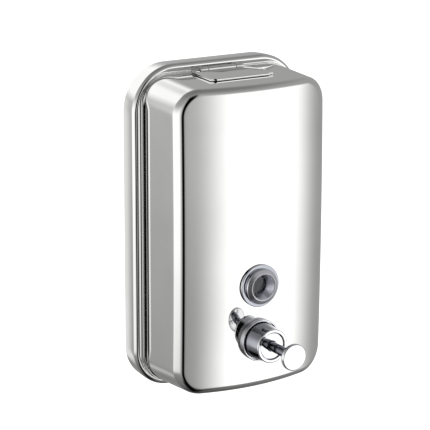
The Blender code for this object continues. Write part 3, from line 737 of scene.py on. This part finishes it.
def make_sight_glass():
    place = (0, face_y(0, SIGHT_Z), SIGHT_Z)
    seat = seat_on_face(SIGHT_Z)
    bezel = [
        (5.4, -1, 0), (5.4, -0.2, 0.2), (7.8, 4.9, 0.2), (8.5, 5.2, 0.25), (10.9, 3.9, 0.3), (11.2, 3.3, 0.2),
        (11.2, 1.3, 0.15), (13.5, 1.3, 0.45), (13.5, 0, 0), (9.2, 0, 0), (9.2, -9, 0.2), (8.3, -9, 0.2),
        (8.3, -1, 0)]
    ring = add_turned("sight_ring", bezel, "Y", place, "chrome", "tank", ["sight_bezel"], seat)
    # The slopes take the lighter, bluer copy of the chrome: painted reflection.
    finish_faces(ring, "chrome.satin_painted_reflection", lambda centre, normal: -0.93 < normal.y < -0.2)
    shoulder = place[1] - 2 * MM
    finish_faces(ring, "chrome.dark", lambda centre, normal: centre.y > shoulder and normal.y < -0.93)
    lens = [(0, -1.1, 0), (3, -1.15, 0), (6, -1.25, 0), (8, -1.3, 0.15), (8, -3.3, 0.15), (0, -3.3, 0)]
    add_turned("sight_window", lens, "Y", place, "clear_plastic", "tank", ["sight_lens"])
    ring = [(6.6, -3.6, 0.2), (8, -3.6, 0.1), (8, -6, 0.2), (6.6, -6, 0.2)]
    add_turned("window_ring", ring, "Y", place, "pump_plastic", "tank", ["lens_retainer"])
    seal = [(9.5, -1.9, 0.2), (12, -1.9, 0.3), (12, -3.2, 0.3), (9.5, -3.2, 0.2)]
    add_turned("sight_seal", seal, "Y", place, "rubber", "tank", ["sight_gasket"])
    nut = nut_mesh(9.5 * MM, 26 * MM, -3.5 * MM, -7.5 * MM, place)
    add_piece("sight_locknut", nut, "chrome", "tank", ["sight_nut"])


# ---------------------------------------------------------------- pump

def pump_place():
    return Vector((0, face_y(0, PUMP_Z), PUMP_Z))


def make_escutcheon():
    profile = [
        (13.3, 0, 0), (13.3, 3.5, 0.75), (12.4, 3.5, 0.15), (12.4, 1.5, 0.2), (9.5, 1.5, 0.1), (9.5, 0, 0)]
    ring = add_turned("pump_base_ring", profile, "Y", pump_place(), "chrome", "tank", ["pump_escutcheon"],
                      seat_on_face(PUMP_Z))
    # The ring's sides take the lighter, bluer copy of the chrome: painted reflection.
    finish_faces(ring, "chrome.satin_painted_reflection", lambda centre, normal: normal.y > -0.9)


def make_barrel():
    """The pump cylinder: a polished barrel in front of the tank, and its tail inside."""
    profile = [
        (12, 1.8, 0.2), (10.5, 14.5, 0.3), (10.7, 14.9, 0.2), (10.7, 16.2, 0.65), (8.5, 16.2, 0.5),
        (8.5, 13.2, 0), (6.2, 13.2, 0), (6.2, -14, 0), (9.2, -14, 0.4), (9.2, 1.8, 0)]
    barrel = add_turned("pump_body", profile, "Y", pump_place(), "chrome", "tank", ["pump_barrel"])
    duct_place = pump_place() - Vector((0, 0, 7.9 * MM))
    duct = [(0, OUTLET_DEPTH), (0, -16 * MM), (0.8 * MM, -16 * MM), (0.8 * MM, OUTLET_DEPTH)]
    combine(barrel, turned_mesh(duct, "Y", duct_place, 24))
    port_place = pump_place() - Vector((0, OUTLET_DEPTH, 0))
    combine(barrel, turned_mesh(
        [(0, -12 * MM), (2.3 * MM, -12 * MM), (2.3 * MM, -7 * MM), (0, -7 * MM)], "Z", port_place, 40))
    screw_place = pump_place() - Vector((0, SCREW_DEPTH, 0))
    turn = Matrix.Translation(screw_place) @ Matrix.Rotation(-SCREW_TILT, 4, "Y")
    combine(barrel, slab_mesh(circle(1.2 * MM, 32), 7 * MM, 12 * MM, "Z", turn))
    lip = pump_place().y - 14.5 * MM
    finish_faces(barrel, "chrome.dark", lambda centre, normal: centre.y > lip and normal.y > -0.9)
    screw = slab_mesh(circle(0.9 * MM, 32), 8.6 * MM, 10.1 * MM, "Z", turn, edge=0.12 * MM)
    piece = add_piece("set_screw", screw, "spring_steel", "tank", ["barrel_screw"])
    turns = [math.radians(60 * i) for i in range(6)]
    hexagon = [(0.5 * MM * math.cos(a), 0.5 * MM * math.sin(a)) for a in turns]
    combine(piece, slab_mesh(hexagon, 9.4 * MM, 11 * MM, "Z", turn))


def make_cap_and_seal():
    cap = [(3.4, 13.5, 0), (3.4, 15.3, 0.3), (8.2, 15.3, 0.25), (8.2, 13.5, 0)]
    add_turned("pump_end_cap", cap, "Y", pump_place(), "chrome", "tank", ["pump_cap"])
    seal = [(3.4, 10.2, 0.2), (3.4, 13.1, 0.2), (5.9, 13.1, 0.2), (5.9, 10.2, 0.2)]
    add_turned("stem_packing", seal, "Y", pump_place(), "rubber", "tank", ["stem_seal"])


def make_button_and_stem():
    front = BUTTON_FRONT
    button = [
        (0, front, 0), (8.3, front, 0.7), (8.3, front - 2.7, 0.6), (1.9, front - 2.7, 0.15),
        (1.9, front - 1.2, 0),
        (0, front - 1.2, 0)]
    add_turned("button", button, "Y", pump_place(), "chrome", "plunger", ["push_button"])
    stem = [
        (0, 39, 0), (1.6, 39, 0.2), (1.6, 37.5, 0), (3.1, 37.5, 0.3), (3.1, 8.8, 0.2), (1.6, 8.8, 0),
        (1.6, 4.2, 0.2),
        (0, 4.2, 0)]
    # The rod's darker plating is painted reflection.
    add_turned("plunger_rod", stem, "Y", pump_place(), "chrome.rod_painted_reflection", "plunger", ["piston_stem"], steps=72)


def make_piston():
    profile = [
        (1.9, 8.5, 0.1), (5.8, 8.5, 0.3), (5.8, 6.6, 0.1), (4.6, 6.6, 0.1), (4.6, 4.4, 0.1), (5.8, 4.4, 0.1),
        (5.8, 2.5, 0.3), (0, 2.5, 0), (0, 3.9, 0), (1.9, 3.9, 0.1)]
    add_turned("plunger_head", profile, "Y", pump_place(), "pump_plastic", "plunger", ["piston"], steps=72)
    seal = [(4.9, 4.9, 0.3), (4.9, 6.2, 0.3), (6.0, 6.2, 0.5), (6.0, 4.8, 0.5)]
    add_turned("plunger_ring", seal, "Y", pump_place(), "rubber", "plunger", ["piston_seal"], steps=72)


def make_tail_fixings():
    seal = [(9.5, -1.9, 0.2), (12, -1.9, 0.3), (12, -3.4, 0.3), (9.5, -3.4, 0.2)]
    add_turned("pump_seal", seal, "Y", pump_place(), "rubber", "tank", ["pump_gasket"])
    nut = nut_mesh(9.5 * MM, 27 * MM, -3.7 * MM, -8.2 * MM, pump_place())
    add_piece("pump_locknut", nut, "chrome", "tank", ["pump_nut"])


def make_inlet():
    """Housing behind the pump chamber, with a ball valve under it and the tube down to the soap."""
    cup = [
        (9.5, -8.9, 0.2), (11.2, -8.9, 0.5), (11.2, -21.5, 0.8), (0, -21.5, 0), (0, -19.7, 0),
        (8.9, -19.7, 0.4),
        (8.9, -14.6, 0), (9.5, -14.6, 0)]
    housing = add_turned("inlet_body", cup, "Y", pump_place(), "pump_plastic", "tank", ["inlet_housing"])
    block = slab_mesh(rectangle(-6 * MM, 6 * MM, 20.6 * MM, 33 * MM), -12 * MM, 6 * MM, "Z",
                      Matrix.Translation(pump_place()), edge=0.8 * MM)
    combine(housing, block, "UNION")
    valve = pump_place() - Vector((0, VALVE_DEPTH, 0))
    chamber = [(0, -14 * MM), (4 * MM, -14 * MM), (4 * MM, 2.5 * MM), (0, 2.5 * MM)]
    combine(housing, turned_mesh(chamber, "Z", valve, 48))
    combine(housing, turned_mesh([(0, -27 * MM), (2 * MM, -27 * MM), (2 * MM, -18 * MM), (0, -18 * MM)], "Y",
                                 pump_place(), 32))
    seat = [
        (2, -8.5, 0), (3, -8.1, 0.1), (3.7, -8.1, 0.1), (3.7, -12.3, 0), (5.5, -12.3, 0.3), (5.5, -13.8, 0.3),
        (2.6, -13.8, 0), (2.6, -19, 0.15), (2, -19, 0)]
    add_turned("ball_seat_ring", seat, "Z", valve, "pump_plastic", "tank", ["ball_seat"], steps=72)
    bm = bmesh.new()
    bmesh.ops.create_icosphere(bm, subdivisions=4, radius=3 * MM)
    low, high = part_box("inlet_ball")
    bmesh.ops.translate(bm, vec=(low + high) / 2, verts=bm.verts)
    add_piece("valve_ball", bm, "spring_steel", "valve_ball", ["inlet_ball"], 60)
    tube = [(2.9, -14.1, 0.2), (4, -14.1, 0.3), (4, -28.5, 0.3), (2.9, -28.5, 0.2)]
    add_turned("suction_tube", tube, "Z", valve, "clear_plastic", "tank", ["dip_tube"], steps=72)


def make_outlet():
    """A bushing in the underside of the barrel and the slit rubber valve above it."""
    place = pump_place() - Vector((0, OUTLET_DEPTH, 0))
    nozzle = [(1, -9.1, 0.1), (2, -9.1, 0.1), (2, -11.5, 0.3), (1, -11.5, 0.2)]
    add_turned("outlet_spout", nozzle, "Z", place, "chrome", "tank", ["outlet_nozzle"], steps=48)
    valve = [(0.4, -7.3, 0), (2, -7.3, 0.15), (2, -8.8, 0.15), (0.4, -8.8, 0.1)]
    add_turned("outlet_flap", valve, "Z", place, "rubber", "tank", ["outlet_valve"], steps=48)


def make_object():
    make_tank_shell()
    make_tank_back()
    make_hanger()
    make_wall_bracket()
    make_lid_plate()
    make_lid_seal()
    make_hinge()
    make_sight_glass()
    make_escutcheon()
    make_barrel()
    make_cap_and_seal()
    make_button_and_stem()
    make_piston()
    make_tail_fixings()
    make_inlet()
    make_outlet()


# ---------------------------------------------------------------- stage, light and camera

FLOOR_Z = -0.6
CAMERA_AZIMUTH = math.radians(-31.54)
CAMERA_ELEVATION = math.radians(15.14)
CAMERA_ROLL = math.radians(0.19)
CAMERA_DISTANCE = 1.1785
CAMERA_TARGET = Vector((-0.0116, -0.0300, 0.00855))
CAMERA_LENS = 159.07
CAMERA_SENSOR = 36.0

# The studio round the object. Azimuth 0 is straight in front of the dispenser and grows toward +X.
# Brightness is what polished steel shows of it, from 0 for black to 1 for white.
STEEL_REFLECTS = 0.86
ROOM = ((-90, 0.10), (-72, 0.30), (-58, 0.42), (-40, 0.48), (-30, 0.53), (-20, 0.59), (-12, 0.67),
        (0, 0.70), (20, 0.64), (38, 0.57), (60, 0.47), (90, 0.42))
# Name, azimuth from, to, softness either side, elevation from, to, softness below and above, brightness
PANELS = (
    ("right wall", 53, 150, 8, 8, -28, 45, 10, 12, 0.59),
    ("left softbox", -143, -52, 5, 14, -22, 10, 9, 16, 1.02),
    ("back softbox", 160, 214, 8, 5, 8, 38, 6, 5, 0.98),
    ("back corner", 186, 204, 6, 5, -32, 4, 6, 6, 0.86),
    ("front softbox", 11, 58, 12, 10, -27, 10, 3, 12, 1.08),
    ("front floor", -50, 20, 10, 12, -90, -40, 1, 9, 0.13),
    ("dark curtain", -36, -6, 6, 6, -90, 42, 1, 10, 0.05),
)


def make_floor():
    """A plain white floor, well below the object. Reflections show the studio instead of it."""
    half = 6.0
    mesh = bpy.data.meshes.new("floor")
    mesh.from_pydata([(x, y, FLOOR_Z) for x, y in rectangle(-half, half, -half, half)], [], [(0, 1, 2, 3)])
    floor = bpy.data.objects.new("floor", mesh)
    bpy.context.scene.collection.objects.link(floor)
    floor.visible_glossy = False
    floor.visible_diffuse = False
    floor.visible_transmission = False
    pale = bpy.data.materials.new("floor")
    pale.use_nodes = True
    shader = pale.node_tree.nodes["Principled BSDF"]
    shader.inputs["Base Color"].default_value = (0.95, 0.95, 0.95, 1)
    shader.inputs["Emission Color"].default_value = (1, 1, 1, 1)
    shader.inputs["Emission Strength"].default_value = 1.0
    mesh.materials.append(pale)


class Studio:
    """Builds the world's nodes: a room that fades with elevation, and soft edged panels in front of it."""

    def __init__(self, tree):
        self.nodes, self.links = tree.nodes, tree.links

    def math(self, operation, *values):
        made = self.nodes.new("ShaderNodeMath")
        made.operation = operation
        for socket, value in zip(made.inputs, values):
            if isinstance(value, (int, float)):
                socket.default_value = value
            else:
                self.links.new(value, socket)
        return made.outputs["Value"]

    def step(self, value, start, end):
        """0 before start, 1 after end, smooth between. End may lie below start."""
        made = self.nodes.new("ShaderNodeMapRange")
        made.interpolation_type = "SMOOTHSTEP"
        made.inputs["From Min"].default_value = start
        made.inputs["From Max"].default_value = end
        self.links.new(value, made.inputs["Value"])
        return made.outputs["Result"]

    def window(self, value, low, high, soft_low, soft_high):
        rise = self.step(value, low - soft_low, low + soft_low)
        fall = self.step(value, high + soft_high, high - soft_high)
        return self.math("MULTIPLY", rise, fall)

    def directions(self):
        """Azimuth and elevation in degrees of the direction that a ray leaves in."""
        place = self.nodes.new("ShaderNodeTexCoord")
        split = self.nodes.new("ShaderNodeSeparateXYZ")
        self.links.new(place.outputs["Generated"], split.inputs["Vector"])
        x, y, z = split.outputs
        azimuth = self.math("ARCTAN2", x, self.math("MULTIPLY", y, -1.0))
        elevation = self.math("ARCSINE", z)
        return self.math("DEGREES", azimuth), self.math("DEGREES", elevation)

    def room(self, elevation):
        ramp = self.nodes.new("ShaderNodeValToRGB")
        self.links.new(self.math("MULTIPLY_ADD", elevation, 1 / 180, 0.5), ramp.inputs["Fac"])
        stops = ramp.color_ramp.elements
        while len(stops) < len(ROOM):
            stops.new(0.5)
        for stop, (angle, brightness) in zip(stops, ROOM):
            stop.position = (angle + 90) / 180
            stop.color = (radiance(brightness),) * 3 + (1,)
        return ramp.outputs["Color"]

    def add_panel(self, color, azimuth, elevation, panel):
        _, left, right, soft_left, soft_right, low, high, soft_low, soft_high, brightness = panel
        middle = (left + right) / 2
        across = self.math("WRAP", self.math("SUBTRACT", azimuth, middle), -180.0, 180.0)
        side = self.window(across, left - middle, right - middle, soft_left, soft_right)
        mask = self.math("MULTIPLY", side, self.window(elevation, low, high, soft_low, soft_high))
        mix = self.nodes.new("ShaderNodeMix")
        mix.data_type = "RGBA"
        self.links.new(mask, mix.inputs["Factor"])
        self.links.new(color, mix.inputs["A"])
        mix.inputs["B"].default_value = (radiance(brightness),) * 3 + (1,)
        return mix.outputs["Result"]


def radiance(brightness):
    """The light that polished steel shows at a given brightness."""
    return brightness ** 2.2 / STEEL_REFLECTS


def make_world():
    """The studio for reflections and light. The camera itself sees plain white."""
    world = bpy.data.worlds.new("studio")
    world.use_nodes = True
    studio = Studio(world.node_tree)
    azimuth, elevation = studio.directions()
    color = studio.room(elevation)
    for panel in PANELS:
        color = studio.add_panel(color, azimuth, elevation, panel)
    light = studio.nodes["Background"]
    studio.links.new(color, light.inputs["Color"])
    paper = studio.nodes.new("ShaderNodeBackground")
    paper.inputs["Color"].default_value = (1, 1, 1, 1)
    path = studio.nodes.new("ShaderNodeLightPath")
    choose = studio.nodes.new("ShaderNodeMixShader")
    studio.links.new(path.outputs["Is Camera Ray"], choose.inputs[0])
    studio.links.new(light.outputs[0], choose.inputs[1])
    studio.links.new(paper.outputs[0], choose.inputs[2])
    studio.links.new(choose.outputs[0], studio.nodes["World Output"].inputs["Surface"])
    bpy.context.scene.world = world


def make_camera():
    back = Vector((
        math.sin(CAMERA_AZIMUTH) * math.cos(CAMERA_ELEVATION),
        -math.cos(CAMERA_AZIMUTH) * math.cos(CAMERA_ELEVATION),
        math.sin(CAMERA_ELEVATION)))
    data = bpy.data.cameras.new("camera")
    data.lens = CAMERA_LENS
    data.sensor_width = CAMERA_SENSOR
    camera = bpy.data.objects.new("camera", data)
    bpy.context.scene.collection.objects.link(camera)
    turn = (-back).to_track_quat("-Z", "Y").to_matrix().to_4x4()
    roll = Matrix.Rotation(CAMERA_ROLL, 4, back)
    camera.matrix_world = Matrix.Translation(CAMERA_TARGET + back * CAMERA_DISTANCE) @ roll @ turn
    bpy.context.scene.camera = camera


MATERIALS = make_materials()
make_object()
frame["nodes"]["return_spring"].data.materials.clear()
frame["nodes"]["return_spring"].data.materials.append(MATERIALS["spring_steel"])
make_floor()
make_world()
make_camera()
bpy.context.scene.view_settings.view_transform = "Standard"
